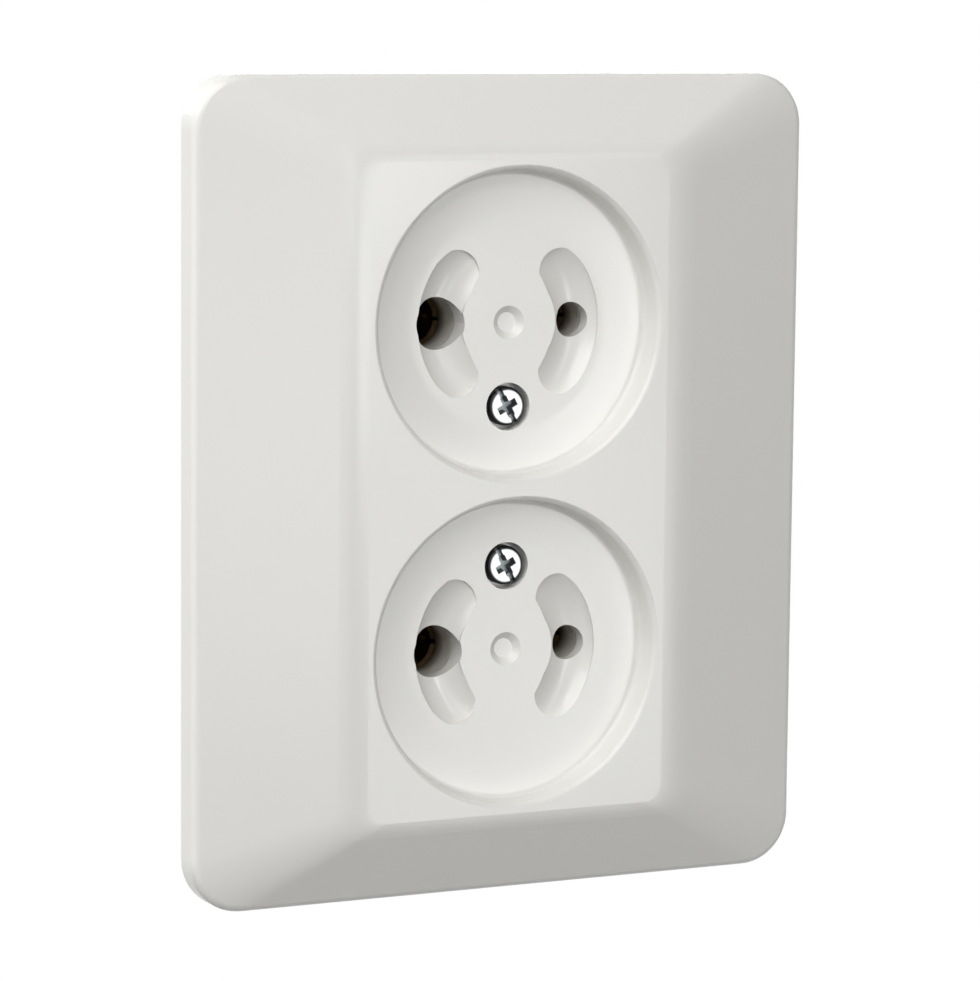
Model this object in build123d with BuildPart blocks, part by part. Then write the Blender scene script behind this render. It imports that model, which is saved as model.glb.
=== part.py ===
"""Double extra-low-voltage wall socket, flush mounted, with a thick and a thin pin hole in each cup.

Millimetres. The origin is the middle of the two box screws, in the wall plane (y = 0).
The front faces -Y, +X is to the right and +Z is up. A name ending in _off is a distance
from the wall plane towards the room, a name ending in _in a distance into the wall.
"""

import os
from math import asin, cos, degrees, radians, sin

from build123d import *

# Cover plate, outside
plate_w = 85.0
plate_h = 104.6
plate_corner_r = 6.6
edge_off = 3.9  # front of the side wall, before its rounding
edge_r = 1.25
plateau_off = 8.5  # front of the raised middle
plateau_corner_r = 2.5
plateau_margin_x = 0.4  # flat beside the cups' rims
plateau_margin_z = 0.33  # flat above and below the cups' rims
round_drop = 0.45  # the raised middle's edge is rounded down by this much before the slope begins
round_steps = 4  # outlines that shape the rounding

# Cover plate, inside
rim_t = 1.8
rim_inner_off = 2.0
inner_corner_r = 4.8
ceiling_t = 2.1
ceiling_inset = 1.2
ceiling_corner_r = 1.6
rib_t = 1.2
rib_clear = 0.5  # ribs stay this far in front of the strap
overcut = 1.0
ring_tol = 0.001

# Plug cups
cup_r = 19.55  # top of the wall, inside the rim's rounding
cup_bridge = 1.14  # flat left between the two rims
cup_rim_r = 0.8
rim_runout = 0.012  # the rim's rounding runs out this far above the raised middle
cup_draft = 0.35  # the wall leans in by this much
cup_foot_round = 0.6
cup_floor_off = 4.75
floor_flat_r = 13.6
floor_bend_r = 12.0
floor_rise = 0.35  # the floor's outer band rises by this much
cup_wall_t = 2.0
dimple_r = 2.15
dimple_inner_r = 1.25
dimple_depth = 0.75

# Pin holes and their guide grooves
pin_pitch = 19.0
thick_hole_r = 3.35
thin_hole_r = 2.25
groove_r_more = 0.1  # the grooves' middle line runs this far outside the pins
groove_w = 6.1
groove_half_angle = 41.0
groove_run_angle = 60.0  # where the groove's bottom comes up to its end depth
groove_depth = 1.9
groove_end_depth = 0.45
groove_tube_r = 4.0
groove_back_t = 1.35
groove_wall_t = 1.2
fuse_in = 0.5  # bosses reach this far into the wall they stand on

# Cover screws
cover_screw_z = 10.2
cover_screw_r = 1.5
cover_screw_len = 9.8
cover_head_r = 2.5
cover_head_h = 1.9
cover_head_round = 0.5
cover_head_sink = 0.15
head_pocket_r = 3.05
cover_hole_r = 1.7
cover_boss_r = 4.3
cover_boss_off = 1.3
recess_angle = 118.0  # direction of the driver slot, from +X towards +Z
cross_len = 2.8
cross_w = 1.0
cross_depth = 1.2
cross_taper = 8.0
slot_w = 0.7
slot_depth = 0.7

# Mounting strap and its rivets
strap_end = 1.5  # beyond the box screws' slots
strap_band = 5.3  # above and below the window
strap_t = 1.0
strap_corner_r = 6.0
box_screw_pitch = 60.0
slot_len = 8.0
slot_hole_r = 1.9
window_corner_r = 5.0
rivet_out = 2.7  # from the contact base's side
rivet_r = 1.5
rivet_head_r = 2.6
rivet_head_h = 0.7

# Contact base
base_side_t = 3.0
base_end_t = 2.6
base_corner_r = 7.0
base_back_r = 1.2
base_floor_t = 1.6
cavity_side = 0.7  # room beside the contact bars
cavity_end = 0.28  # room beyond the contact bars' pads
cavity_back = 2.4  # room behind the sleeves
cavity_corner_r = 4.0
seat_w = 1.3
seat_in = 1.0  # where the front insulating plate sits
web_t = 1.6
ear_w = 9.0
ear_margin = 2.9  # beyond the rivet's middle
ear_t = 4.0
wire_hole_r = 1.6
wire_funnel_r = 2.5
wire_funnel_angle = 90.0
pillar_r = 3.9
small_pillar_r = 3.0
support_w = 6.0
support_h = 2.6
neck_support_z = 13.4

# Front insulating plate and its screws
plate_gap = 0.2
guide_clear = 0.05  # the pins' guide tubes are wider than the cover's holes by this much
guide_t = 1.0
guide_in = 3.6
cover_pass_r = 1.8
driver_hole_r = 3.0
hold_down_w = 4.0
hold_down_h = 2.4
front_screw_z = 23.2
front_screw_r = 1.25
front_screw_len = 9.0
front_head_r = 2.4
front_head_h = 1.15

# Threaded inserts
insert_r = 2.3
insert_len = 7.0
thread_clear = 0.02

# Contact bars
bar_in = 9.0
bar_t = 1.2
bar_w = 7.4
neck_w = 5.0
neck_x = 10.0
thick_pad_r = 5.2
thin_pad_r = 4.4
terminal_x = 11.6
terminal_z = 6.4

# Contact sleeves and their springs
sleeve_front_in = 4.0
sleeve_back_in = 16.0
sleeve_wall = 0.8
thick_bore_r = 3.1
thin_bore_r = 2.08
sleeve_step = 0.6
sleeve_step_t = 1.2
sleeve_slot_w = 0.7
sleeve_slot_len = 3.5
sleeve_lead = 0.4
spring_in = 5.6
spring_w = 1.1
spring_t = 0.7
spring_gap_angle = 60.0

# Wire clamps and terminal screws
clamp_w = 7.4
clamp_t = 1.2
clamp_corner_r = 0.8
clamp_gap = 0.1  # between the closed clamp and the contact bar
terminal_screw_r = 1.75
terminal_screw_len = 5.8
terminal_fit = 0.05  # radial, in the bar's thread
clamp_fit = 0.1  # radial, in the clamp
terminal_head_r = 2.75
terminal_head_h = 2.2
terminal_head_round = 0.5
head_gap = 0.05  # between the screw's head and the clamp

# Derived
cup_pitch = 2 * (cup_r + cup_rim_r) + cup_bridge
cup_foot_r = cup_r - cup_draft
plateau_w = 2 * (cup_r + cup_rim_r + plateau_margin_x)
plateau_h = cup_pitch + 2 * (cup_r + cup_rim_r + plateau_margin_z)
slope_drop = plateau_off - edge_off
round_share = 2 * round_drop / (slope_drop + round_drop)  # of the way from the raised middle to the edge
round_left = [1 - step / round_steps for step in range(round_steps + 1)]
slope_outlines = [(1, edge_off), (round_share, plateau_off - round_drop)]
round_outlines = [(round_share * left, plateau_off - round_drop * left ** 2) for left in round_left]
ceiling_w = plateau_w - 2 * ceiling_inset
ceiling_h = plateau_h - 2 * ceiling_inset
ceiling_off = plateau_off - ceiling_t
cup_z = cup_pitch / 2
pin_x = pin_pitch / 2
groove_r = pin_x + groove_r_more
cup_back_off = cup_floor_off - cup_wall_t
groove_back_off = cup_floor_off - groove_depth - groove_back_t
groove_fall = (groove_depth - groove_end_depth) / (1 - cos(radians(groove_run_angle)))
groove_tilt = degrees(asin(groove_fall / groove_r))
cover_seat_off = cup_floor_off - cover_head_sink - cover_head_h
cavity_w = 2 * (terminal_x + bar_w / 2 + cavity_side)
cavity_h = cup_pitch + 2 * (thick_pad_r + cavity_end)
base_w = cavity_w + 2 * base_side_t
base_h = cavity_h + 2 * base_end_t
floor_in = sleeve_back_in + cavity_back
base_in = floor_in + base_floor_t
window_w = cavity_w + 2 * seat_w
window_h = cavity_h + 2 * seat_w
rivet_x = base_w / 2 + rivet_out
strap_w = box_screw_pitch + slot_len + 2 * strap_end
strap_h = window_h + 2 * strap_band
thick_guide_r = thick_hole_r + guide_clear
thin_guide_r = thin_hole_r + guide_clear
bar_back_in = bar_in + bar_t
thick_sleeve_r = thick_bore_r + sleeve_wall
thin_sleeve_r = thin_bore_r + sleeve_wall
clamp_back_in = bar_in - clamp_gap
wire_in = clamp_back_in - clamp_t
head_seat_in = clamp_back_in - clamp_t - head_gap
cup_places = [(0, cup_z), (0, -cup_z)]
thick_places = [(-pin_x, cup_z), (-pin_x, -cup_z)]
thin_places = [(pin_x, cup_z), (pin_x, -cup_z)]
cover_screw_places = [(0, cover_screw_z), (0, -cover_screw_z)]
front_screw_places = [(0, front_screw_z), (0, -front_screw_z)]
rivet_places = [(-rivet_x, 0), (rivet_x, 0)]
terminal_places = [(x, z) for x in (-terminal_x, terminal_x) for z in (-terminal_z, terminal_z)]


def front(y):
    """Sketch plane at depth y, seen from the room: sketch axes are +X and +Z, and it faces -Y."""
    return Plane(origin=(0, y, 0), x_dir=(1, 0, 0), z_dir=(0, -1, 0))


def axial(x, z):
    """Sketch plane through the line along Y at (x, z): sketch axes are the radius and +Y."""
    return Plane(origin=(x, 0, z), x_dir=(1, 0, 0), z_dir=(0, 0, 1))


def crown(share):
    """Width, height and corner radius, share of the way from the raised middle to the cover's edge."""
    ends = zip((plateau_w, plateau_h, plateau_corner_r), (plate_w, plate_h, plate_corner_r))
    return [inner + share * (outer - inner) for inner, outer in ends]


def disc(r, y, amount, places, mode=Mode.ADD):
    """Cylinders along Y from depth y, towards the room for a positive amount."""
    with BuildSketch(front(y)) as discs:
        with Locations(*places):
            Circle(r)
    extrude(discs.sketch, amount=amount, mode=mode)


def driver_recess(y, slot, places):
    """Slot across the head with a cross recess in its middle, cut from the head's front at depth y."""
    with BuildSketch(front(y)) as slots:
        with Locations(*places):
            Rectangle(slot, slot_w, rotation=recess_angle)
    extrude(slots.sketch, amount=-slot_depth, mode=Mode.SUBTRACT)
    with BuildSketch(front(y)) as crosses:
        with Locations(*places):
            Rectangle(cross_len, cross_w, rotation=recess_angle)
            Rectangle(cross_w, cross_len, rotation=recess_angle)
    extrude(crosses.sketch, amount=-cross_depth, taper=cross_taper, mode=Mode.SUBTRACT)


# Hollow behind the cover, with the cups' bodies and the stiffening ribs left standing in it
with BuildPart() as cover_hollow:
    with BuildSketch(front(overcut)):
        RectangleRounded(plate_w - 2 * rim_t, plate_h - 2 * rim_t, inner_corner_r)
    extrude(amount=overcut + rim_inner_off)
    with BuildSketch(front(-rim_inner_off)):
        RectangleRounded(plate_w - 2 * rim_t, plate_h - 2 * rim_t, inner_corner_r)
    with BuildSketch(front(-ceiling_off)):
        RectangleRounded(ceiling_w, ceiling_h, ceiling_corner_r)
    loft(ruled=True)
    disc(cup_foot_r + cup_wall_t, -cup_back_off, plateau_off, cup_places, Mode.SUBTRACT)
    with BuildSketch(front(-strap_t - rib_clear)):
        with Locations(*cup_places):
            Rectangle(plate_w, rib_t)
        Rectangle(rib_t, plate_h)
    extrude(amount=plateau_off, mode=Mode.SUBTRACT)

# One cup's pair of guide grooves: a ring tilted so that it is deepest at the pin, kept inside an arc slot
with BuildPart() as grooves:
    ring_x = groove_r * (1 - cos(radians(groove_tilt)))
    tube_y = groove_depth - cup_floor_off - groove_tube_r
    ring_y = tube_y - groove_r * sin(radians(groove_tilt))
    with BuildSketch(axial(0, 0)):
        with Locations((groove_r, tube_y)):
            Circle(groove_tube_r)
    ring_dir = (sin(radians(groove_tilt)), -cos(radians(groove_tilt)), 0)
    revolve(axis=Axis((ring_x, ring_y, 0), ring_dir))
    with BuildSketch(front(-groove_back_off)):
        SlotArc(CenterArc((0, 0), groove_r, -groove_half_angle, 2 * groove_half_angle), groove_w)
    extrude(amount=plateau_off, mode=Mode.INTERSECT)
    mirror(about=Plane.YZ)

with BuildPart() as groove_backs:
    with BuildSketch(front(-groove_back_off)):
        for start in (-groove_half_angle, 180 - groove_half_angle):
            SlotArc(
                CenterArc((0, 0), groove_r, start, 2 * groove_half_angle),
                groove_w + 2 * groove_wall_t,
            )
    extrude(amount=cup_back_off + fuse_in - groove_back_off)

with BuildPart() as cover_plate:
    with BuildSketch(front(0)):
        RectangleRounded(plate_w, plate_h, plate_corner_r)
    extrude(amount=edge_off)
    for share, off in slope_outlines:
        with BuildSketch(front(-off)):
            RectangleRounded(*crown(share))
    loft(ruled=True)
    outer_edges = cover_plate.edges().filter_by_position(Axis.Y, -edge_off - ring_tol, ring_tol - edge_off)
    fillet(outer_edges, edge_r)
    for share, off in round_outlines:
        with BuildSketch(front(-off)):
            RectangleRounded(*crown(share))
    loft()
    add(cover_hollow.part, mode=Mode.SUBTRACT)
    with Locations((0, 0, cup_z), (0, 0, -cup_z)):
        add(groove_backs.part)
    disc(cover_boss_r, -cover_boss_off, cup_back_off + fuse_in - cover_boss_off, cover_screw_places)
    for _, z in cup_places:
        with BuildSketch(axial(0, z)) as cup_profile:
            with BuildLine():
                Polyline(
                    (0, dimple_depth - cup_floor_off),
                    (dimple_inner_r, dimple_depth - cup_floor_off),
                    (dimple_r, -cup_floor_off),
                    (floor_flat_r, -cup_floor_off),
                    (cup_foot_r, -cup_floor_off - floor_rise),
                    (cup_r, -plateau_off - rim_runout),
                    (cup_r + 2 * cup_rim_r, -plateau_off - rim_runout),
                    (cup_r + 2 * cup_rim_r, -plateau_off - overcut),
                    (0, -plateau_off - overcut),
                    close=True,
                )
            make_face()
            foot = (cup_foot_r, -cup_floor_off - floor_rise, 0)
            fillet(cup_profile.vertices().sort_by_distance(foot)[0], cup_foot_round)
            bend = (floor_flat_r, -cup_floor_off, 0)
            fillet(cup_profile.vertices().sort_by_distance(bend)[0], floor_bend_r)
            rim = (cup_r, -plateau_off - rim_runout, 0)
            fillet(cup_profile.vertices().sort_by_distance(rim)[0], cup_rim_r)
        revolve(axis=Axis((0, 0, z), (0, 1, 0)), mode=Mode.SUBTRACT)
    with Locations((0, 0, cup_z), (0, 0, -cup_z)):
        add(grooves.part, mode=Mode.SUBTRACT)
    disc(thick_hole_r, 0, cup_floor_off + overcut, thick_places, Mode.SUBTRACT)
    disc(thin_hole_r, 0, cup_floor_off + overcut, thin_places, Mode.SUBTRACT)
    disc(cover_hole_r, 0, cup_floor_off + overcut, cover_screw_places, Mode.SUBTRACT)
    disc(head_pocket_r, -cover_seat_off, cup_wall_t + overcut, cover_screw_places, Mode.SUBTRACT)

with BuildPart() as cover_screws:
    disc(cover_head_r, -cover_seat_off, cover_head_h, cover_screw_places)
    head_front = -cover_seat_off - cover_head_h
    fillet(cover_screws.edges().filter_by_position(Axis.Y, head_front, head_front), cover_head_round)
    disc(cover_screw_r, -cover_seat_off, -cover_screw_len, cover_screw_places)
    driver_recess(head_front, 2 * cover_head_r, cover_screw_places)

with BuildPart() as mounting_strap:
    with BuildSketch(front(0)):
        RectangleRounded(strap_w, strap_h, strap_corner_r)
        RectangleRounded(window_w, window_h, window_corner_r, mode=Mode.SUBTRACT)
        with Locations((-box_screw_pitch / 2, 0), (box_screw_pitch / 2, 0)):
            SlotOverall(slot_len, 2 * slot_hole_r, mode=Mode.SUBTRACT)
        with Locations(*rivet_places):
            Circle(rivet_r, mode=Mode.SUBTRACT)
    extrude(amount=strap_t)

with BuildPart() as strap_rivets:
    disc(rivet_r, -strap_t, -strap_t - ear_t, rivet_places)
    disc(rivet_head_r, -strap_t, rivet_head_h, rivet_places)
    disc(rivet_head_r, ear_t, -rivet_head_h, rivet_places)

with BuildPart() as contact_base:
    with BuildSketch(front(0)):
        RectangleRounded(base_w, base_h, base_corner_r)
    extrude(amount=-base_in)
    fillet(contact_base.faces().sort_by(Axis.Y)[-1].edges(), base_back_r)
    with BuildSketch(front(0)):
        Rectangle(2 * (rivet_x + ear_margin), ear_w)
    extrude(amount=-ear_t)
    with BuildSketch(front(0)):
        RectangleRounded(window_w, window_h, window_corner_r)
    extrude(amount=-seat_in, mode=Mode.SUBTRACT)
    with BuildSketch(front(0)):
        RectangleRounded(cavity_w, cavity_h, cavity_corner_r)
    extrude(amount=-floor_in, mode=Mode.SUBTRACT)
    with BuildSketch(front(floor_in)):
        Rectangle(web_t, cavity_h)
        with Locations(*cover_screw_places):
            Circle(pillar_r)
        with Locations(*front_screw_places):
            Circle(small_pillar_r)
    extrude(amount=floor_in - seat_in)
    with BuildSketch(front(floor_in)):
        with Locations((-terminal_x, 0), (terminal_x, 0)):
            Rectangle(support_w, support_h)
        with Locations(*[(x, z) for x in (-neck_x, neck_x) for z in (-neck_support_z, neck_support_z)]):
            Rectangle(neck_w, support_h)
    extrude(amount=floor_in - bar_back_in)
    disc(insert_r, seat_in, -insert_len, cover_screw_places, Mode.SUBTRACT)
    disc(front_screw_r + thread_clear, seat_in, -front_screw_len, front_screw_places, Mode.SUBTRACT)
    disc(rivet_r, 0, -ear_t, rivet_places, Mode.SUBTRACT)
    for side in (-1, 1):
        side_face = Plane(origin=(side * base_w / 2, wire_in, 0), x_dir=(0, 1, 0), z_dir=(side, 0, 0))
        with Locations(side_face):
            with Locations((0, -terminal_z), (0, terminal_z)):
                CounterSinkHole(wire_hole_r, wire_funnel_r, base_side_t, wire_funnel_angle)

with BuildPart() as front_plate:
    with BuildSketch(front(seat_in)):
        RectangleRounded(window_w - 2 * plate_gap, window_h - 2 * plate_gap, window_corner_r - plate_gap)
        with Locations(*thick_places):
            Circle(thick_guide_r, mode=Mode.SUBTRACT)
        with Locations(*thin_places):
            Circle(thin_guide_r, mode=Mode.SUBTRACT)
        with Locations(*cover_screw_places):
            Circle(cover_pass_r, mode=Mode.SUBTRACT)
        with Locations(*terminal_places):
            Circle(driver_hole_r, mode=Mode.SUBTRACT)
        with Locations(*front_screw_places):
            Circle(front_screw_r + thread_clear, mode=Mode.SUBTRACT)
    extrude(amount=seat_in + strap_t)
    with BuildSketch(front(guide_in)):
        with Locations(*thick_places):
            Circle(thick_guide_r + guide_t)
            Circle(thick_guide_r, mode=Mode.SUBTRACT)
        with Locations(*thin_places):
            Circle(thin_guide_r + guide_t)
            Circle(thin_guide_r, mode=Mode.SUBTRACT)
    extrude(amount=guide_in - seat_in)
    with BuildSketch(front(seat_in)):
        with Locations((-terminal_x, 0), (terminal_x, 0)):
            Rectangle(hold_down_w, hold_down_h)
    extrude(amount=seat_in - bar_in)
    for _, z in front_screw_places:
        with BuildSketch(axial(0, z)):
            with BuildLine():
                Polyline(
                    (0, -strap_t),
                    (front_head_r, -strap_t),
                    (front_screw_r, front_head_h - strap_t),
                    (0, front_head_h - strap_t),
                    close=True,
                )
            make_face()
        revolve(axis=Axis((0, 0, z), (0, 1, 0)), mode=Mode.SUBTRACT)

with BuildPart() as front_screws:
    for _, z in front_screw_places:
        with BuildSketch(axial(0, z)):
            with BuildLine():
                Polyline(
                    (0, -strap_t),
                    (front_head_r, -strap_t),
                    (front_screw_r, front_head_h - strap_t),
                    (front_screw_r, front_screw_len - strap_t),
                    (0, front_screw_len - strap_t),
                    close=True,
                )
            make_face()
        revolve(axis=Axis((0, 0, z), (0, 1, 0)))
    driver_recess(-strap_t, 2 * front_head_r, front_screw_places)

with BuildPart() as thread_inserts:
    disc(insert_r, seat_in, -insert_len, cover_screw_places)
    disc(cover_screw_r + thread_clear, seat_in, -insert_len, cover_screw_places, Mode.SUBTRACT)

with BuildPart() as thick_bar:
    with BuildSketch(front(bar_back_in)):
        with Locations((-terminal_x, 0)):
            RectangleRounded(bar_w, 2 * terminal_z + bar_w, clamp_corner_r)
        with Locations((-neck_x, 0)):
            Rectangle(neck_w, cup_pitch)
        with Locations(*thick_places):
            Circle(thick_pad_r)
            Circle(thick_sleeve_r, mode=Mode.SUBTRACT)
        with Locations((-terminal_x, -terminal_z), (-terminal_x, terminal_z)):
            Circle(terminal_screw_r + terminal_fit, mode=Mode.SUBTRACT)
    extrude(amount=bar_t)

with BuildPart() as thin_bar:
    with BuildSketch(front(bar_back_in)):
        with Locations((terminal_x, 0)):
            RectangleRounded(bar_w, 2 * terminal_z + bar_w, clamp_corner_r)
        with Locations((neck_x, 0)):
            Rectangle(neck_w, cup_pitch)
        with Locations(*thin_places):
            Circle(thin_pad_r)
            Circle(thin_sleeve_r, mode=Mode.SUBTRACT)
        with Locations((terminal_x, -terminal_z), (terminal_x, terminal_z)):
            Circle(terminal_screw_r + terminal_fit, mode=Mode.SUBTRACT)
    extrude(amount=bar_t)


def sleeve(x, z, bore_r):
    """Turned contact sleeve along Y at (x, z), split crosswise at its mouth, stepped to sit on the bar."""
    outer_r = bore_r + sleeve_wall
    with BuildSketch(axial(x, z)) as profile:
        with BuildLine():
            Polyline(
                (bore_r, sleeve_back_in),
                (outer_r, sleeve_back_in),
                (outer_r, bar_in),
                (outer_r + sleeve_step, bar_in),
                (outer_r + sleeve_step, bar_in - sleeve_step_t),
                (outer_r, bar_in - sleeve_step_t),
                (outer_r, sleeve_front_in),
                (bore_r + sleeve_lead, sleeve_front_in),
                (bore_r, sleeve_front_in + sleeve_lead),
                close=True,
            )
        make_face()
    revolve(profile.sketch, axis=Axis((x, 0, z), (0, 1, 0)))
    with BuildSketch(front(sleeve_front_in)) as slots:
        with Locations((x, z)):
            Rectangle(4 * outer_r, sleeve_slot_w)
            Rectangle(sleeve_slot_w, 4 * outer_r)
    extrude(slots.sketch, amount=-sleeve_slot_len, mode=Mode.SUBTRACT)


def spring(x, z, inner_r):
    """Open spring ring around a sleeve's split mouth."""
    with BuildSketch(front(spring_in + spring_w / 2)) as ring:
        with Locations((x, z)):
            Circle(inner_r + spring_t)
            Circle(inner_r, mode=Mode.SUBTRACT)
    extrude(ring.sketch, amount=spring_w)
    with BuildSketch(axial(x, z)) as gap:
        with Locations((inner_r + spring_t / 2, spring_in)):
            Rectangle(2 * spring_t, 2 * spring_w)
    pin_axis = Axis((x, 0, z), (0, 1, 0))
    revolve(gap.sketch, axis=pin_axis, revolution_arc=spring_gap_angle, mode=Mode.SUBTRACT)


with BuildPart() as thick_sleeve_up:
    sleeve(-pin_x, cup_z, thick_bore_r)

with BuildPart() as thick_sleeve_low:
    sleeve(-pin_x, -cup_z, thick_bore_r)

with BuildPart() as thin_sleeve_up:
    sleeve(pin_x, cup_z, thin_bore_r)

with BuildPart() as thin_sleeve_low:
    sleeve(pin_x, -cup_z, thin_bore_r)

with BuildPart() as thick_spring_up:
    spring(-pin_x, cup_z, thick_sleeve_r)

with BuildPart() as thick_spring_low:
    spring(-pin_x, -cup_z, thick_sleeve_r)

with BuildPart() as thin_spring_up:
    spring(pin_x, cup_z, thin_sleeve_r)

with BuildPart() as thin_spring_low:
    spring(pin_x, -cup_z, thin_sleeve_r)


def clamp(x, z):
    """Square wire clamp under a terminal screw's head."""
    with BuildSketch(front(clamp_back_in)) as square:
        with Locations((x, z)):
            RectangleRounded(clamp_w, clamp_w, clamp_corner_r)
            Circle(terminal_screw_r + clamp_fit, mode=Mode.SUBTRACT)
    extrude(square.sketch, amount=clamp_t)


def terminal_screw(x, z, builder):
    """Terminal screw, its head towards the room."""
    head_front = head_seat_in - terminal_head_h
    disc(terminal_head_r, head_seat_in, terminal_head_h, [(x, z)])
    fillet(builder.edges().filter_by_position(Axis.Y, head_front, head_front), terminal_head_round)
    disc(terminal_screw_r, head_seat_in, -terminal_screw_len, [(x, z)])
    driver_recess(head_front, 2 * terminal_head_r, [(x, z)])


with BuildPart() as thick_clamp_up:
    clamp(-terminal_x, terminal_z)

with BuildPart() as thick_clamp_low:
    clamp(-terminal_x, -terminal_z)

with BuildPart() as thin_clamp_up:
    clamp(terminal_x, terminal_z)

with BuildPart() as thin_clamp_low:
    clamp(terminal_x, -terminal_z)

with BuildPart() as thick_screw_up:
    terminal_screw(-terminal_x, terminal_z, thick_screw_up)

with BuildPart() as thick_screw_low:
    terminal_screw(-terminal_x, -terminal_z, thick_screw_low)

with BuildPart() as thin_screw_up:
    terminal_screw(terminal_x, terminal_z, thin_screw_up)

with BuildPart() as thin_screw_low:
    terminal_screw(terminal_x, -terminal_z, thin_screw_low)

sub_parts = {
    "cover_plate": cover_plate,
    "cover_screws": cover_screws,
    "mounting_strap": mounting_strap,
    "strap_rivets": strap_rivets,
    "contact_base": contact_base,
    "front_plate": front_plate,
    "front_screws": front_screws,
    "thread_inserts": thread_inserts,
    "thick_bar": thick_bar,
    "thin_bar": thin_bar,
    "thick_sleeve_up": thick_sleeve_up,
    "thick_sleeve_low": thick_sleeve_low,
    "thin_sleeve_up": thin_sleeve_up,
    "thin_sleeve_low": thin_sleeve_low,
    "thick_spring_up": thick_spring_up,
    "thick_spring_low": thick_spring_low,
    "thin_spring_up": thin_spring_up,
    "thin_spring_low": thin_spring_low,
    "thick_clamp_up": thick_clamp_up,
    "thick_clamp_low": thick_clamp_low,
    "thin_clamp_up": thin_clamp_up,
    "thin_clamp_low": thin_clamp_low,
    "thick_screw_up": thick_screw_up,
    "thick_screw_low": thick_screw_low,
    "thin_screw_up": thin_screw_up,
    "thin_screw_low": thin_screw_low,
}
os.makedirs("parts", exist_ok=True)
for name, builder in sub_parts.items():
    builder.part.label = name
    export_step(builder.part, f"parts/{name}.step")
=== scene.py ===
"""Double extra-low-voltage wall socket, dressed for the camera. Metres, +Z up, the room on the -Y side."""

from math import cos, pi, radians, sin

import bmesh
import bpy
from mathutils import Matrix, Vector


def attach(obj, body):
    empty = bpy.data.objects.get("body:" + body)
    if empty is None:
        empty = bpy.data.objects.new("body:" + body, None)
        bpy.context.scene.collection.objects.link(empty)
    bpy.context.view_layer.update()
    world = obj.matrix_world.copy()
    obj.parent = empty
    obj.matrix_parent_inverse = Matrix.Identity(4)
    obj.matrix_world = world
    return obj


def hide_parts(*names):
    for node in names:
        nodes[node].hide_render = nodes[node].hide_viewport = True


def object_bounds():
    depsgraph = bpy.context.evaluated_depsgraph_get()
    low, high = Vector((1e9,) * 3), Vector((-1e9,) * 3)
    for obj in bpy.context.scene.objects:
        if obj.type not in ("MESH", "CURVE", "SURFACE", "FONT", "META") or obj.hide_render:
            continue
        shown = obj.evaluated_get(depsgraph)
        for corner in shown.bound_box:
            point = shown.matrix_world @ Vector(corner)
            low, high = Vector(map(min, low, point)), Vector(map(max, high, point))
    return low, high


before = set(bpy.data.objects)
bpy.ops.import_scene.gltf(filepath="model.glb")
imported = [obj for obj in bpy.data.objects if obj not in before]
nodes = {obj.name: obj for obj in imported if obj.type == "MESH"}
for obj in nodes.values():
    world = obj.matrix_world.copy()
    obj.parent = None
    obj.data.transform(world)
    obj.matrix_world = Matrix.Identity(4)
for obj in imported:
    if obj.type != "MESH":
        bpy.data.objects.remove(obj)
cad_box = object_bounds()

# Camera
IMAGE_HEIGHT = 981  # pixels
FOCAL_PIXELS = 4100.9
SENSOR_HEIGHT = 36.0  # millimetres, as the camera counts it
CAMERA_AZIMUTH = radians(25.375)  # to the left of straight in front
CAMERA_TILT = radians(7.218)  # downwards
CAMERA_ROLL = radians(0.556)
CAMERA_DISTANCE = 0.5261
CAMERA_RIGHT = 0.000151  # the origin stands this far right of the picture's middle
CAMERA_UP = 0.001085  # and this far above it
CLIP_START = 0.01

# Stage
FLOOR_DROP = 0.90
FLOOR_SIZE = 6.0
FLOOR_GREY = 0.85
LAMP_DISTANCE = 0.80
SOFTBOXES = (
    # name, degrees to the left of the front, degrees up, width and height, watts
    ("key_left_above", 65.0, 45.0, 0.80, 3.50),
    ("key_front_above", 40.0, 40.0, 0.80, 2.60),
    ("side_left", 90.0, 10.0, 0.80, 2.40),
    ("front_left", 22.0, 26.0, 0.15, 0.28),
    ("front_above", 14.0, 37.0, 0.12, 0.30),
    ("front_left_low", 5.0, -7.0, 0.15, 0.17),
    ("front_spot_up", -5.0, 9.0, 0.08, 0.10),
    ("front_spot", -4.0, 1.0, 0.08, 0.10),
    ("front_right", -14.5, -3.0, 0.08, 0.20),
    ("right_spot", -21.5, 1.5, 0.08, 0.19),
    ("right_above", -25.0, 15.0, 0.15, 0.24),
    ("right", -23.0, 4.5, 0.15, 0.14),
    ("right_low", -23.5, -7.0, 0.15, 0.23),
    ("right_lowest", -25.0, -16.0, 0.15, 0.27),
    ("right_outer", -31.0, -9.0, 0.15, 0.13),
    ("behind_left", 145.0, 30.0, 0.50, 2.00),
    ("behind_right", -145.0, 20.0, 0.50, 1.50),
)

# Places of the contact sleeves and of the screws
PIN_X = 0.0095
CUP_Z = 0.02092
COVER_SCREW_Z = 0.0102
FRONT_SCREW_Z = 0.0232
TERMINAL_X = 0.0116
TERMINAL_Z = 0.0064

# Screw threads: the CAD shank's radius is the radius of the thread's crest
TURN_POINTS = 40
RIDGE_CORNERS = 4
CREASE = radians(30.0)
SAME_POINT = 1e-6
ON_SHANK = 5e-6  # a point this near to the shank's radius is on the shank
COVER_THREAD = {"shank_r": 0.00150, "depth": 0.00027, "ridge": 0.00046, "pitch": 0.0005}
FRONT_THREAD = {"shank_r": 0.00125, "depth": 0.00030, "ridge": 0.00040, "pitch": 0.0010}
TERMINAL_THREAD = {"shank_r": 0.00175, "depth": 0.00032, "ridge": 0.00056, "pitch": 0.0006}

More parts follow.
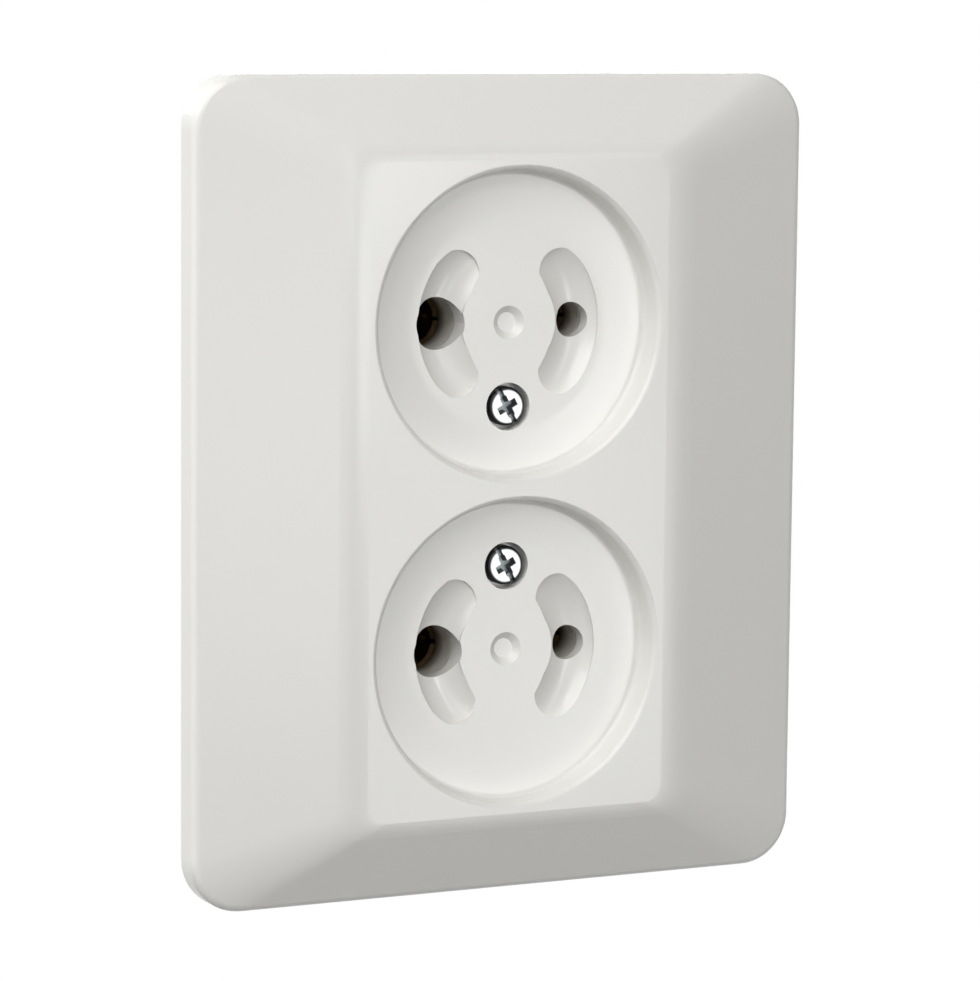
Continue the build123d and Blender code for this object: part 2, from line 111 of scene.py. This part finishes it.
# Finishes: waves and rings in a metre, and the detail of the noise
CLOUD_WAVES = 70.0
SKIN_DETAIL = 4.0
WAVES_IN_A_CRYSTAL = 3
SCRATCH_WAVES = 2600.0
SCRATCH_DETAIL = 5.0
WEAR_WAVES = 900.0
WEAR_DETAIL = 4.0
LATHE_MARKS = {"Distortion": 0.6, "Detail": 2.0, "Detail Scale": 3.0}
BRASS_RINGS = 900.0
ZINC_RINGS = 700.0
COVER_HEAD_PAINTED_SHADE = {  # painted shade: the head's rounded edge drawn dark by its distance from the screw's axis, and the driver's recess drawn darker by its depth along Y
    "edge": (0.00200, 0.00220), "painted_edge_shade": (0.035, 0.037, 0.040),
    "recess": (-0.00456, -0.00440), "painted_recess_shade": (0.20, 0.22, 0.225),
}
GUIDE_MOUTH_PAINTED_LIGHT = {"reach": (0.0010, 0.0034), "colour": (0.60, 0.57, 0.52)}  # painted light: the guide tubes' bores are drawn paler towards the room, along Y, where light reaches into them


def new_finish(name):
    """An empty material with a shader: returns the material, its tree, its shader and object coordinates."""
    material = bpy.data.materials.new(name)
    material.use_nodes = True
    tree = material.node_tree
    tree.nodes.clear()
    output = tree.nodes.new("ShaderNodeOutputMaterial")
    shader = tree.nodes.new("ShaderNodeBsdfPrincipled")
    coords = tree.nodes.new("ShaderNodeTexCoord")
    tree.links.new(shader.outputs["BSDF"], output.inputs["Surface"])
    return material, tree, shader, coords.outputs["Object"]


def noise(tree, coords, scale, detail=3.0):
    """Noise of the given number of waves in a metre."""
    texture = tree.nodes.new("ShaderNodeTexNoise")
    texture.inputs["Scale"].default_value = scale
    texture.inputs["Detail"].default_value = detail
    tree.links.new(coords, texture.inputs["Vector"])
    return texture.outputs["Fac"]


def spread(tree, value, low, high, start=0.3, end=0.7):
    """The value, stretched from start..end, where noise mostly lies, to low..high."""
    ramp = tree.nodes.new("ShaderNodeMapRange")
    ramp.inputs["From Min"].default_value = start
    ramp.inputs["From Max"].default_value = end
    ramp.inputs["To Min"].default_value = low
    ramp.inputs["To Max"].default_value = high
    tree.links.new(value, ramp.inputs["Value"])
    return ramp.outputs["Result"]


def tint(tree, value, dark, light):
    """A colour between two, by the value."""
    mix = tree.nodes.new("ShaderNodeMix")
    mix.data_type = "RGBA"
    mix.inputs["A"].default_value = (*dark, 1.0)
    mix.inputs["B"].default_value = (*light, 1.0)
    tree.links.new(value, mix.inputs["Factor"])
    return mix.outputs["Result"]


def mixed(tree, share, first, second):
    """The first colour, which other nodes make, and the second by the share."""
    mix = tree.nodes.new("ShaderNodeMix")
    mix.data_type = "RGBA"
    mix.inputs["B"].default_value = (*second, 1.0)
    tree.links.new(first, mix.inputs["A"])
    tree.links.new(share, mix.inputs["Factor"])
    return mix.outputs["Result"]


def bumps(tree, shader, height, depth):
    """Gives the shader a surface that rises and falls by depth."""
    bump = tree.nodes.new("ShaderNodeBump")
    bump.inputs["Distance"].default_value = depth
    tree.links.new(height, bump.inputs["Height"])
    tree.links.new(bump.outputs["Normal"], shader.inputs["Normal"])


def moulded_plastic(name, dark, light, roughness, grain, grain_depth, gloss=0.5, painted_mouth_light=None):
    """Moulded plastic: a faint cloudiness in its colour, a fine grain from the mould, and painted light that
    makes the guide tubes' mouths paler.
    """
    material, tree, shader, coords = new_finish(name)
    shader.inputs["Specular IOR Level"].default_value = gloss
    colour = tint(tree, noise(tree, coords, CLOUD_WAVES), dark, light)
    # painted light: the colour turns paler towards the room along Y, as if light reached into the guide
    # tubes' mouths
    if painted_mouth_light:
        parts = tree.nodes.new("ShaderNodeSeparateXYZ")
        tree.links.new(coords, parts.inputs["Vector"])
        painted_light_share = spread(tree, parts.outputs["Y"], 1.0, 0.0, *painted_mouth_light["reach"])
        colour = mixed(tree, painted_light_share, colour, painted_mouth_light["colour"])
    tree.links.new(colour, shader.inputs["Base Color"])
    skin = noise(tree, coords, grain, SKIN_DETAIL)
    tree.links.new(spread(tree, skin, *roughness), shader.inputs["Roughness"])
    bumps(tree, shader, skin, grain_depth)
    return material


def rolled_metal(name, dark, light, roughness, crystals, scratch_depth):
    """Sheet or plated metal: crystals that differ a little in colour and gloss, and fine scratches."""
    material, tree, shader, coords = new_finish(name)
    shader.inputs["Metallic"].default_value = 1.0
    crystal = tree.nodes.new("ShaderNodeTexVoronoi")
    crystal.inputs["Scale"].default_value = crystals
    tree.links.new(coords, crystal.inputs["Vector"])
    tree.links.new(tint(tree, crystal.outputs["Color"], dark, light), shader.inputs["Base Color"])
    wear = noise(tree, coords, crystals * WAVES_IN_A_CRYSTAL)
    tree.links.new(spread(tree, wear, *roughness), shader.inputs["Roughness"])
    bumps(tree, shader, noise(tree, coords, SCRATCH_WAVES, SCRATCH_DETAIL), scratch_depth)
    return material


def painted_head_shade(tree, centred, colour, head):
    """The colour of a screw's head with painted shade: dark on the rounded edge and darker in the driver's
    recess.
    """
    parts = tree.nodes.new("ShaderNodeSeparateXYZ")
    tree.links.new(centred, parts.inputs["Vector"])
    level = tree.nodes.new("ShaderNodeCombineXYZ")
    tree.links.new(parts.outputs["X"], level.inputs["X"])
    tree.links.new(parts.outputs["Z"], level.inputs["Z"])
    out = tree.nodes.new("ShaderNodeVectorMath")
    out.operation = "LENGTH"
    tree.links.new(level.outputs["Vector"], out.inputs[0])
    # painted shade: the rounded edge drawn dark and the recess darker, in place of their shade and dark
    # reflections
    edge_shade_share = spread(tree, out.outputs["Value"], 0.0, 1.0, *head["edge"])
    recess_shade_share = spread(tree, parts.outputs["Y"], 0.0, 1.0, *head["recess"])
    colour = mixed(tree, recess_shade_share, colour, head["painted_recess_shade"])
    return mixed(tree, edge_shade_share, colour, head["painted_edge_shade"])


def turned_metal(name, dark, light, roughness, axis_x, axis_z, rings, ring_depth, head=None):
    """Turned metal: rings around axes along Y at (+-axis_x, +-axis_z), and the painted shade of a screw's
    head.
    """
    material, tree, shader, coords = new_finish(name)
    shader.inputs["Metallic"].default_value = 1.0
    parts = tree.nodes.new("ShaderNodeSeparateXYZ")
    tree.links.new(coords, parts.inputs["Vector"])
    centre = tree.nodes.new("ShaderNodeCombineXYZ")
    tree.links.new(parts.outputs["Y"], centre.inputs["Y"])
    for side, axis in (("X", axis_x), ("Z", axis_z)):
        fold = tree.nodes.new("ShaderNodeMath")
        fold.operation = "ABSOLUTE"
        tree.links.new(parts.outputs[side], fold.inputs[0])
        shift = tree.nodes.new("ShaderNodeMath")
        shift.operation = "SUBTRACT"
        shift.inputs[1].default_value = axis
        tree.links.new(fold.outputs["Value"], shift.inputs[0])
        tree.links.new(shift.outputs["Value"], centre.inputs[side])
    lathe = tree.nodes.new("ShaderNodeTexWave")
    lathe.wave_type = "RINGS"
    lathe.rings_direction = "Y"
    lathe.inputs["Scale"].default_value = rings
    for mark, amount in LATHE_MARKS.items():
        lathe.inputs[mark].default_value = amount
    tree.links.new(centre.outputs["Vector"], lathe.inputs["Vector"])
    wear = noise(tree, coords, WEAR_WAVES, WEAR_DETAIL)
    colour = tint(tree, wear, dark, light)
    # painted shade on the screw's head: its rounded edge and its driver's recess
    if head:
        colour = painted_head_shade(tree, centre.outputs["Vector"], colour, head)
    tree.links.new(colour, shader.inputs["Base Color"])
    tree.links.new(spread(tree, wear, *roughness), shader.inputs["Roughness"])
    bumps(tree, shader, lathe.outputs["Fac"], ring_depth)
    return material


def assign(node, material):
    """The node's finish in place of its plain one."""
    mesh = nodes[node].data
    mesh.materials.clear()
    mesh.materials.append(material)


def thread_tree():
    """Geometry nodes that wind a thread around each shank of a screw."""
    tree = bpy.data.node_groups.new("screw_threads", "GeometryNodeTree")
    face = tree.interface
    face.new_socket("Screws", in_out="INPUT", socket_type="NodeSocketGeometry")
    for name in ("Root Radius", "Depth", "Ridge Width", "Pitch", "Turns", "Crease"):
        face.new_socket(name, in_out="INPUT", socket_type="NodeSocketFloat")
    for name in ("First Screw", "Next Screw"):
        face.new_socket(name, in_out="INPUT", socket_type="NodeSocketVector")
    for name in ("Screw Count", "Points In A Turn"):
        face.new_socket(name, in_out="INPUT", socket_type="NodeSocketInt")
    face.new_socket("Finish", in_out="INPUT", socket_type="NodeSocketMaterial")
    face.new_socket("Threaded", in_out="OUTPUT", socket_type="NodeSocketGeometry")

    add, link = tree.nodes.new, tree.links.new
    given = add("NodeGroupInput").outputs
    result = add("NodeGroupOutput").inputs

    def maths(operation, first, second):
        node = add("ShaderNodeMath")
        node.operation = operation
        for socket, value in zip(node.inputs, (first, second)):
            if isinstance(value, float):
                socket.default_value = value
            else:
                link(value, socket)
        return node

    # The helix, right-handed, and a lozenge that is pulled along it and dies out over the first and last turn
    helix = add("GeometryNodeCurveSpiral")
    link(given["Points In A Turn"], helix.inputs["Resolution"])
    link(given["Turns"], helix.inputs["Rotations"])
    link(given["Root Radius"], helix.inputs["Start Radius"])
    link(given["Root Radius"], helix.inputs["End Radius"])
    link(maths("MULTIPLY", given["Pitch"], given["Turns"]).outputs["Value"], helix.inputs["Height"])
    helix.inputs["Reverse"].default_value = True
    level = add("GeometryNodeSetCurveNormal")
    level.mode = "Z_UP"
    link(helix.outputs["Curve"], level.inputs["Curve"])
    lozenge = add("GeometryNodeCurvePrimitiveCircle")
    lozenge.inputs["Resolution"].default_value = RIDGE_CORNERS
    lozenge.inputs["Radius"].default_value = 1.0
    shape = add("ShaderNodeCombineXYZ")
    link(given["Depth"], shape.inputs["X"])
    link(maths("MULTIPLY", given["Ridge Width"], 0.5).outputs["Value"], shape.inputs["Y"])
    shape.inputs["Z"].default_value = 1.0
    ridge = add("GeometryNodeTransform")
    link(lozenge.outputs["Curve"], ridge.inputs["Geometry"])
    link(shape.outputs["Vector"], ridge.inputs["Scale"])
    along = add("GeometryNodeSplineParameter").outputs["Factor"]
    left = maths("SUBTRACT", 1.0, along).outputs["Value"]
    nearest_end = maths("MINIMUM", along, left).outputs["Value"]
    run_out = maths("MULTIPLY", nearest_end, given["Turns"])
    run_out.use_clamp = True
    wound = add("GeometryNodeCurveToMesh")
    link(level.outputs["Curve"], wound.inputs["Curve"])
    link(ridge.outputs["Geometry"], wound.inputs["Profile Curve"])
    link(run_out.outputs["Value"], wound.inputs["Scale"])
    plated = add("GeometryNodeSetMaterial")
    link(wound.outputs["Mesh"], plated.inputs["Geometry"])
    link(given["Finish"], plated.inputs["Material"])

    # Turned to run along +Y, and set at each screw
    turned = add("GeometryNodeTransform")
    turned.inputs["Rotation"].default_value = (-pi / 2, 0.0, 0.0)
    link(plated.outputs["Geometry"], turned.inputs["Geometry"])
    row = add("GeometryNodeMeshLine")
    link(given["Screw Count"], row.inputs["Count"])
    link(given["First Screw"], row.inputs["Start Location"])
    link(given["Next Screw"], row.inputs["Offset"])
    copies = add("GeometryNodeInstanceOnPoints")
    link(row.outputs["Mesh"], copies.inputs["Points"])
    link(turned.outputs["Geometry"], copies.inputs["Instance"])
    threads = add("GeometryNodeRealizeInstances")
    link(copies.outputs["Instances"], threads.inputs["Geometry"])
    joined = add("GeometryNodeJoinGeometry")
    link(given["Screws"], joined.inputs["Geometry"])
    link(threads.outputs["Geometry"], joined.inputs["Geometry"])
    bend = add("GeometryNodeInputMeshEdgeAngle").outputs["Unsigned Angle"]
    sharp = maths("GREATER_THAN", bend, given["Crease"])
    creased = add("GeometryNodeSetShadeSmooth")
    creased.domain = "EDGE"
    link(joined.outputs["Geometry"], creased.inputs["Geometry"])
    link(sharp.outputs["Value"], creased.inputs["Selection"])
    creased.inputs["Shade Smooth"].default_value = False
    finished = add("GeometryNodeSetMaterial")
    link(creased.outputs["Geometry"], finished.inputs["Geometry"])
    link(given["Finish"], finished.inputs["Material"])
    link(finished.outputs["Geometry"], result["Threaded"])
    return tree


def turned_down(node, places, shank_r, depth):
    """A joined-up copy of the node's mesh with its shanks drawn in by the thread's depth: returns the mesh
    and the shanks' ends along Y."""
    mesh = nodes[node].data.copy()
    mesh.materials.clear()
    shape = bmesh.new()
    shape.from_mesh(mesh)
    bmesh.ops.remove_doubles(shape, verts=shape.verts, dist=SAME_POINT)
    ends = []
    for vert in shape.verts:
        for x, z in places:
            out = Vector((vert.co.x - x, vert.co.z - z))
            if abs(out.length - shank_r) < ON_SHANK:
                ends.append(vert.co.y)
                out *= (shank_r - depth) / shank_r
                vert.co.x, vert.co.z = x + out.x, z + out.y
    shape.to_mesh(mesh)
    shape.free()
    return mesh, min(ends), max(ends)


def threaded_screws(node, body, tree, places, thread, finish):
    """The node's screws with real threads, in its place."""
    mesh, head_end, tip = turned_down(node, places, thread["shank_r"], thread["depth"])
    mesh.materials.append(finish)
    mesh.shade_smooth()
    screws = bpy.data.objects.new(f"{node}_threaded", mesh)
    bpy.context.scene.collection.objects.link(screws)
    first, last = places[0], places[-1]
    start = head_end + thread["ridge"] / 2
    values = {
        "Root Radius": thread["shank_r"] - thread["depth"],
        "Depth": thread["depth"],
        "Ridge Width": thread["ridge"],
        "Pitch": thread["pitch"],
        "Turns": (tip - thread["ridge"] / 2 - start) / thread["pitch"],
        "Crease": CREASE,
        "First Screw": (first[0], start, first[1]),
        "Next Screw": (last[0] - first[0], 0.0, last[1] - first[1]),
        "Screw Count": len(places),
        "Points In A Turn": TURN_POINTS,
        "Finish": finish,
    }
    winding = screws.modifiers.new("screw_threads", "NODES")
    winding.node_group = tree
    for socket in tree.interface.items_tree:
        if socket.in_out == "INPUT" and socket.name in values:
            winding[socket.identifier] = values[socket.name]
    flats = screws.modifiers.new("flat_faces", "WEIGHTED_NORMAL")
    flats.keep_sharp = True
    made = screws.evaluated_get(bpy.context.evaluated_depsgraph_get())
    whole = bpy.data.meshes.new_from_object(made)
    screws.modifiers.clear()
    screws.data = whole
    bpy.data.meshes.remove(mesh)
    whole.name = screws.name
    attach(screws, body)
    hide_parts(node)


def place_camera():
    """Camera at the photograph's angle, its lens from the focal length in pixels."""
    ahead = Vector((sin(CAMERA_AZIMUTH), cos(CAMERA_AZIMUTH), 0.0))
    level = Vector((cos(CAMERA_AZIMUTH), -sin(CAMERA_AZIMUTH), 0.0))
    upright = Vector((0.0, 0.0, 1.0))
    forward = ahead * cos(CAMERA_TILT) - upright * sin(CAMERA_TILT)
    top = upright * cos(CAMERA_TILT) + ahead * sin(CAMERA_TILT)
    right = level * cos(CAMERA_ROLL) + top * sin(CAMERA_ROLL)
    up = top * cos(CAMERA_ROLL) - level * sin(CAMERA_ROLL)
    data = bpy.data.cameras.new("camera")
    data.sensor_fit = "VERTICAL"
    data.sensor_height = SENSOR_HEIGHT
    data.lens = FOCAL_PIXELS / IMAGE_HEIGHT * SENSOR_HEIGHT
    data.clip_start = CLIP_START
    camera = bpy.data.objects.new("camera", data)
    bpy.context.scene.collection.objects.link(camera)
    turn = Matrix((right, up, -forward)).transposed().to_4x4()
    spot = -(right * CAMERA_RIGHT + up * CAMERA_UP + forward * CAMERA_DISTANCE)
    camera.matrix_world = Matrix.Translation(spot) @ turn
    bpy.context.scene.camera = camera


def hang_softboxes():
    """Soft square lamps around the socket, all turned to its middle."""
    for name, left, up, size, watts in SOFTBOXES:
        data = bpy.data.lights.new(name, "AREA")
        data.size = size
        data.energy = watts
        lamp = bpy.data.objects.new(name, data)
        bpy.context.scene.collection.objects.link(lamp)
        level = cos(radians(up))
        away = Vector((-sin(radians(left)) * level, -cos(radians(left)) * level, sin(radians(up))))
        lamp.location = away * LAMP_DISTANCE
        lamp.rotation_euler = (-away).to_track_quat("-Z", "Y").to_euler()


def seen_directly(tree):
    """1 for a ray from the camera, or one off metal or through glass, and 0 for light on its way."""
    path = tree.nodes.new("ShaderNodeLightPath")
    glossy = tree.nodes.new("ShaderNodeMath")
    glossy.operation = "MAXIMUM"
    tree.links.new(path.outputs["Is Camera Ray"], glossy.inputs[0])
    tree.links.new(path.outputs["Is Glossy Ray"], glossy.inputs[1])
    either = tree.nodes.new("ShaderNodeMath")
    either.operation = "MAXIMUM"
    tree.links.new(glossy.outputs["Value"], either.inputs[0])
    tree.links.new(path.outputs["Is Transmission Ray"], either.inputs[1])
    return either.outputs["Value"]


def white_world():
    """White where it is seen, and dark for the light on its way: the lamps light the socket alone."""
    world = bpy.data.worlds.new("studio")
    bpy.context.scene.world = world
    world.use_nodes = True
    tree = world.node_tree
    tree.nodes.clear()
    output = tree.nodes.new("ShaderNodeOutputWorld")
    white = tree.nodes.new("ShaderNodeBackground")
    white.inputs["Color"].default_value = (1.0, 1.0, 1.0, 1.0)
    tree.links.new(seen_directly(tree), white.inputs["Strength"])
    tree.links.new(white.outputs["Background"], output.inputs["Surface"])


def pale_floor():
    """Wide pale floor, well below the socket, that is white where it is seen."""
    low = cad_box[0][2] - FLOOR_DROP
    half = FLOOR_SIZE / 2
    mesh = bpy.data.meshes.new("floor")
    corners = [(-half, -half, low), (half, -half, low), (half, half, low), (-half, half, low)]
    mesh.from_pydata(corners, [], [(0, 1, 2, 3)])
    floor = bpy.data.objects.new("floor", mesh)
    bpy.context.scene.collection.objects.link(floor)
    material = bpy.data.materials.new("pale_floor")
    material.use_nodes = True
    tree = material.node_tree
    tree.nodes.clear()
    output = tree.nodes.new("ShaderNodeOutputMaterial")
    paint = tree.nodes.new("ShaderNodeBsdfDiffuse")
    paint.inputs["Color"].default_value = (FLOOR_GREY, FLOOR_GREY, FLOOR_GREY, 1.0)
    white = tree.nodes.new("ShaderNodeEmission")
    mix = tree.nodes.new("ShaderNodeMixShader")
    tree.links.new(seen_directly(tree), mix.inputs["Fac"])
    tree.links.new(paint.outputs["BSDF"], mix.inputs[1])
    tree.links.new(white.outputs["Emission"], mix.inputs[2])
    tree.links.new(mix.outputs["Shader"], output.inputs["Surface"])
    mesh.materials.append(material)


cover_plastic = moulded_plastic(
    "cover_plastic", dark=(0.790, 0.783, 0.750), light=(0.810, 0.803, 0.770),
    roughness=(0.19, 0.22), grain=1200.0, grain_depth=2e-7,
)
base_plastic = moulded_plastic(
    "base_plastic", dark=(0.028, 0.028, 0.03), light=(0.04, 0.04, 0.042),
    roughness=(0.45, 0.6), grain=1500.0, grain_depth=8e-6,
)
# the insulating plate's guide tubes get painted light, paler towards their mouths
plate_plastic = moulded_plastic(
    "plate_plastic", dark=(0.120, 0.092, 0.068), light=(0.140, 0.108, 0.080),
    roughness=(0.5, 0.65), grain=1200.0, grain_depth=8e-6, gloss=0.15, painted_mouth_light=GUIDE_MOUTH_PAINTED_LIGHT,
)
strap_steel = rolled_metal(
    "strap_steel", dark=(0.46, 0.47, 0.48), light=(0.60, 0.61, 0.62),
    roughness=(0.28, 0.48), crystals=180.0, scratch_depth=2e-6,
)
rivet_steel = rolled_metal(
    "rivet_steel", dark=(0.55, 0.55, 0.56), light=(0.65, 0.65, 0.66),
    roughness=(0.25, 0.40), crystals=500.0, scratch_depth=2e-6,
)
clamp_steel = rolled_metal(
    "clamp_steel", dark=(0.52, 0.52, 0.50), light=(0.64, 0.64, 0.62),
    roughness=(0.30, 0.45), crystals=600.0, scratch_depth=2e-6,
)
spring_steel = rolled_metal(
    "spring_steel", dark=(0.20, 0.21, 0.23), light=(0.28, 0.29, 0.31),
    roughness=(0.25, 0.40), crystals=700.0, scratch_depth=1e-6,
)
bar_brass = rolled_metal(
    "bar_brass", dark=(0.60, 0.42, 0.16), light=(0.70, 0.51, 0.22),
    roughness=(0.25, 0.42), crystals=500.0, scratch_depth=2e-6,
)
sleeve_brass = turned_metal(
    "sleeve_brass", dark=(0.14, 0.09, 0.04), light=(0.20, 0.135, 0.06), roughness=(0.30, 0.45),
    axis_x=PIN_X, axis_z=CUP_Z, rings=BRASS_RINGS, ring_depth=2e-6,
)
insert_brass = turned_metal(
    "insert_brass", dark=(0.58, 0.40, 0.15), light=(0.72, 0.53, 0.24), roughness=(0.22, 0.34),
    axis_x=0.0, axis_z=COVER_SCREW_Z, rings=BRASS_RINGS, ring_depth=2e-6,
)
cover_screw_zinc = turned_metal(
    "cover_screw_zinc", dark=(0.54, 0.55, 0.56), light=(0.66, 0.67, 0.68), roughness=(0.42, 0.54),
    axis_x=0.0, axis_z=COVER_SCREW_Z, rings=ZINC_RINGS, ring_depth=4e-6, head=COVER_HEAD_PAINTED_SHADE,
)
front_screw_zinc = turned_metal(
    "front_screw_zinc", dark=(0.56, 0.57, 0.59), light=(0.72, 0.73, 0.75), roughness=(0.22, 0.36),
    axis_x=0.0, axis_z=FRONT_SCREW_Z, rings=ZINC_RINGS, ring_depth=3e-6,
)
terminal_screw_zinc = turned_metal(
    "terminal_screw_zinc", dark=(0.56, 0.57, 0.59), light=(0.72, 0.73, 0.75), roughness=(0.22, 0.36),
    axis_x=TERMINAL_X, axis_z=TERMINAL_Z, rings=ZINC_RINGS, ring_depth=3e-6,
)

assign("cover_plate", cover_plastic)
assign("contact_base", base_plastic)
assign("front_plate", plate_plastic)
assign("mounting_strap", strap_steel)
assign("strap_rivets", rivet_steel)
assign("thread_inserts", insert_brass)
for pin in ("thick", "thin"):
    assign(f"{pin}_bar", bar_brass)
    for place in ("up", "low"):
        assign(f"{pin}_sleeve_{place}", sleeve_brass)
        assign(f"{pin}_spring_{place}", spring_steel)
        assign(f"{pin}_clamp_{place}", clamp_steel)

screw_threads = thread_tree()
cover_places = ((0.0, -COVER_SCREW_Z), (0.0, COVER_SCREW_Z))
front_places = ((0.0, -FRONT_SCREW_Z), (0.0, FRONT_SCREW_Z))
threaded_screws("cover_screws", "socket", screw_threads, cover_places, COVER_THREAD, cover_screw_zinc)
threaded_screws("front_screws", "socket", screw_threads, front_places, FRONT_THREAD, front_screw_zinc)
for pin, side in (("thick", -1), ("thin", 1)):
    for place, up in (("up", 1), ("low", -1)):
        screw = f"{pin}_screw_{place}"
        spot = ((side * TERMINAL_X, up * TERMINAL_Z),)
        threaded_screws(screw, screw, screw_threads, spot, TERMINAL_THREAD, terminal_screw_zinc)

place_camera()
hang_softboxes()
white_world()
pale_floor()
bpy.context.scene.view_settings.view_transform = "Standard"
